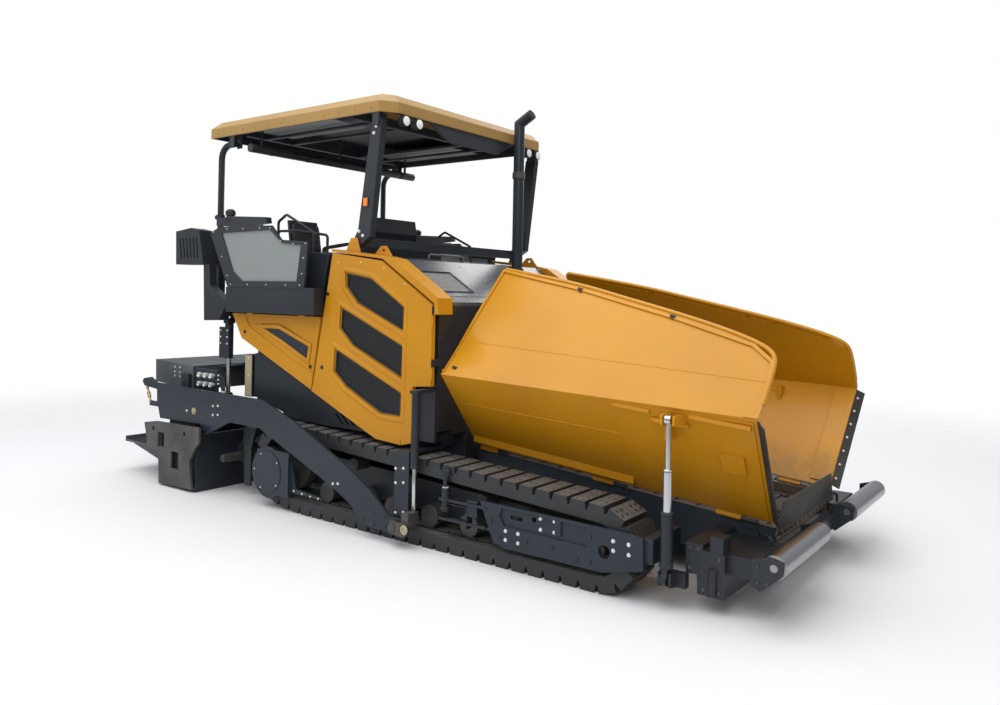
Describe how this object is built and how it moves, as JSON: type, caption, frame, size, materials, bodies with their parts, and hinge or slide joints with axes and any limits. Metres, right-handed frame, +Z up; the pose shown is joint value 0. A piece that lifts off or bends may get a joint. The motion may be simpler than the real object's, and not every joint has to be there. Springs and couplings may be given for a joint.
{
  "type": "asphalt paver",
  "caption": "Crawler asphalt paver with a folding hopper, slat conveyors, augers, a tamping screed on tow arms and a folding canopy over two seats.",
  "frame": {"origin": "centre of the footprint on the ground", "axes": "+X the way the machine drives, +Y its left side, +Z up"},
  "size_m": [7.636, 3.3, 4.1368],
  "materials": {
    "amber": "satin amber paint, dusty",
    "gold": "satin gold paint",
    "dark": "matt dark grey paint",
    "steel": "worn bare steel",
    "pads": "dusty dark pads",
    "bright": "polished",
    "grey": "light grey paint",
    "plastic": "black plastic",
    "rubber": "black rubber"
  },
  "bodies": {
    "machine": {"track_right": "pads", "track_left": "pads", "track_wheels": "steel", "track_frames": "dark", "track_guards_rear": "dark", "track_guards_front": "dark", "chassis": "dark", "engine_block": "dark", "body_shell": "dark", "side_panels": "dark", "hood": "dark", "shoulders": "amber", "hopper_floor": "steel", "front_flap": "rubber", "push_beam": "dark", "conveyors": "steel", "tow_guides": "dark", "levelling_cylinders": "dark", "auger_hangers": "dark", "exhaust": "dark", "seats": "plastic", "console": "dark", "side_shields": "dark", "rear_boxes": "dark", "shield_windows": "grey", "handrails": "dark", "lifting_lugs": "dark"},
    "hood_lid": {"hood_lid": "dark"},
    "door_front_right": {"door_front_right": "amber", "door_mesh_right": "dark"},
    "door_front_left": {"door_front_left": "amber", "door_mesh_left": "dark"},
    "door_rear_right": {"door_rear_right": "amber"},
    "door_rear_left": {"door_rear_left": "amber"},
    "wing_right": {"hopper_wing_right": "amber", "wing_edge_right": "dark"},
    "wing_left": {"hopper_wing_left": "amber", "wing_edge_left": "dark"},
    "wing_barrel_right": {"wing_barrel_right": "dark"},
    "wing_barrel_left": {"wing_barrel_left": "dark"},
    "wing_stage_right": {"wing_stage_right": "bright"},
    "wing_stage_left": {"wing_stage_left": "bright"},
    "wing_rod_right": {"wing_rod_right": "bright"},
    "wing_rod_left": {"wing_rod_left": "bright"},
    "push_roller_right": {"push_roller_right": "bright"},
    "push_roller_left": {"push_roller_left": "bright"},
    "auger_right": {"auger_right": "steel"},
    "auger_left": {"auger_left": "steel"},
    "tow_points": {"tow_points": "steel"},
    "screed": {"tow_arms": "dark", "screed": "dark", "screed_ends": "steel", "screed_walkway": "dark", "screed_cover": "grey"},
    "lift_barrels": {"lift_barrels": "dark"},
    "lift_rods": {"lift_rods": "bright"},
    "canopy_front": {"canopy_front_frame": "dark"},
    "canopy_roof": {"canopy_roof": "gold", "lamps": "plastic"},
    "canopy_rear": {"canopy_rear_posts": "dark"}
  },
  "joints": [
    {"name": "hood_lid_hinge", "type": "hinge", "parent": "machine", "child": "hood_lid", "pos_m": [-0.135, -0.25, 2.472], "axis": [0, -1, 0], "range_deg": [0, 50]},
    {"name": "door_front_right_hinge", "type": "hinge", "parent": "machine", "child": "door_front_right", "pos_m": [0.79, -1.352, 1.6], "axis": [0, 0, 1], "range_deg": [0, 85]},
    {"name": "door_rear_right_hinge", "type": "hinge", "parent": "machine", "child": "door_rear_right", "pos_m": [-1.3, -1.352, 1.893], "axis": [-1, 0, 0], "range_deg": [0, 80]},
    {"name": "wing_right_hinge", "type": "hinge", "parent": "machine", "child": "wing_right", "pos_m": [0.79, -0.714, 0.75], "axis": [0.9962, 0, -0.0875], "range_deg": [0, 40]},
    {"name": "wing_barrel_right_pivot", "type": "hinge", "parent": "machine", "child": "wing_barrel_right", "pos_m": [3.008, -1.415, 0.215], "axis": [0.9903, -0.1392, 0], "range_deg": [0, 36]},
    {"name": "wing_stage_right_slide", "type": "slide", "parent": "wing_barrel_right", "child": "wing_stage_right", "axis": [0, 0, -1], "range_m": [0, 0.26]},
    {"name": "wing_rod_right_slide", "type": "slide", "parent": "wing_stage_right", "child": "wing_rod_right", "axis": [0, 0, -1], "range_m": [0, 0.275]},
    {"name": "push_roller_right_spin", "type": "hinge", "parent": "machine", "child": "push_roller_right", "pos_m": [3.74, -0.89, 0.44], "axis": [0, 1, 0], "continuous": true},
    {"name": "auger_right_spin", "type": "hinge", "parent": "machine", "child": "auger_right", "pos_m": [-2, -0.8, 0.37], "axis": [0, 1, 0], "continuous": true},
    {"name": "door_front_left_hinge", "type": "hinge", "parent": "machine", "child": "door_front_left", "pos_m": [0.79, 1.352, 1.6], "axis": [0, 0, -1], "range_deg": [0, 85]},
    {"name": "door_rear_left_hinge", "type": "hinge", "parent": "machine", "child": "door_rear_left", "pos_m": [-1.3, 1.352, 1.893], "axis": [1, 0, 0], "range_deg": [0, 80]},
    {"name": "wing_left_hinge", "type": "hinge", "parent": "machine", "child": "wing_left", "pos_m": [0.79, 0.714, 0.75], "axis": [-0.9962, 0, 0.0875], "range_deg": [0, 40]},
    {"name": "wing_barrel_left_pivot", "type": "hinge", "parent": "machine", "child": "wing_barrel_left", "pos_m": [3.008, 1.415, 0.215], "axis": [-0.9903, -0.1392, 0], "range_deg": [0, 36]},
    {"name": "wing_stage_left_slide", "type": "slide", "parent": "wing_barrel_left", "child": "wing_stage_left", "axis": [0, 0, -1], "range_m": [0, 0.26]},
    {"name": "wing_rod_left_slide", "type": "slide", "parent": "wing_stage_left", "child": "wing_rod_left", "axis": [0, 0, -1], "range_m": [0, 0.275]},
    {"name": "push_roller_left_spin", "type": "hinge", "parent": "machine", "child": "push_roller_left", "pos_m": [3.74, 0.89, 0.44], "axis": [0, 1, 0], "continuous": true},
    {"name": "auger_left_spin", "type": "hinge", "parent": "machine", "child": "auger_left", "pos_m": [-2, 0.8, 0.37], "axis": [0, 1, 0], "continuous": true},
    {"name": "tow_point_slide", "type": "slide", "parent": "machine", "child": "tow_points", "axis": [0, 0, 1], "range_m": [0, 0.25]},
    {"name": "screed_lift", "type": "hinge", "parent": "tow_points", "child": "screed", "pos_m": [0.625, 0, 0.17], "axis": [0, 1, 0], "range_deg": [0, 5]},
    {"name": "lift_barrel_pivot", "type": "hinge", "parent": "machine", "child": "lift_barrels", "pos_m": [-2.14, 0, 1.79], "axis": [0, -1, 0], "range_deg": [0, 10]},
    {"name": "lift_rod_slide", "type": "slide", "parent": "lift_barrels", "child": "lift_rods", "axis": [0, 0, 1], "range_m": [0, 0.25]},
    {"name": "canopy_fold", "type": "hinge", "parent": "machine", "child": "canopy_front", "pos_m": [-0.245, 0, 2.59], "axis": [0, -1, 0], "range_deg": [0, 60]},
    {"name": "canopy_roof_pivot", "type": "hinge", "parent": "canopy_front", "child": "canopy_roof", "pos_m": [0, 0, 3.705], "axis": [0, -1, 0], "range_deg": [-60, 0]},
    {"name": "canopy_rear_pivot", "type": "hinge", "parent": "machine", "child": "canopy_rear", "pos_m": [-2.415, 0, 2.59], "axis": [0, -1, 0], "range_deg": [0, 60]}
  ],
  "couplings": [
    {"joint": "wing_barrel_right_pivot", "follows": "wing_right_hinge", "ratio": 0.8577},
    {"joint": "wing_stage_right_slide", "follows": "wing_right_hinge", "m_per_rad": 0.3625},
    {"joint": "wing_rod_right_slide", "follows": "wing_right_hinge", "m_per_rad": 0.3876},
    {"joint": "wing_barrel_left_pivot", "follows": "wing_left_hinge", "ratio": 0.8577},
    {"joint": "wing_stage_left_slide", "follows": "wing_left_hinge", "m_per_rad": 0.3625},
    {"joint": "wing_rod_left_slide", "follows": "wing_left_hinge", "m_per_rad": 0.3876},
    {"joint": "lift_barrel_pivot", "follows": "screed_lift", "ratio": 1.71},
    {"joint": "lift_rod_slide", "follows": "screed_lift", "m_per_rad": 2.66},
    {"joint": "canopy_roof_pivot", "follows": "canopy_fold", "ratio": -1},
    {"joint": "canopy_rear_pivot", "follows": "canopy_fold", "ratio": 1}
  ]
}
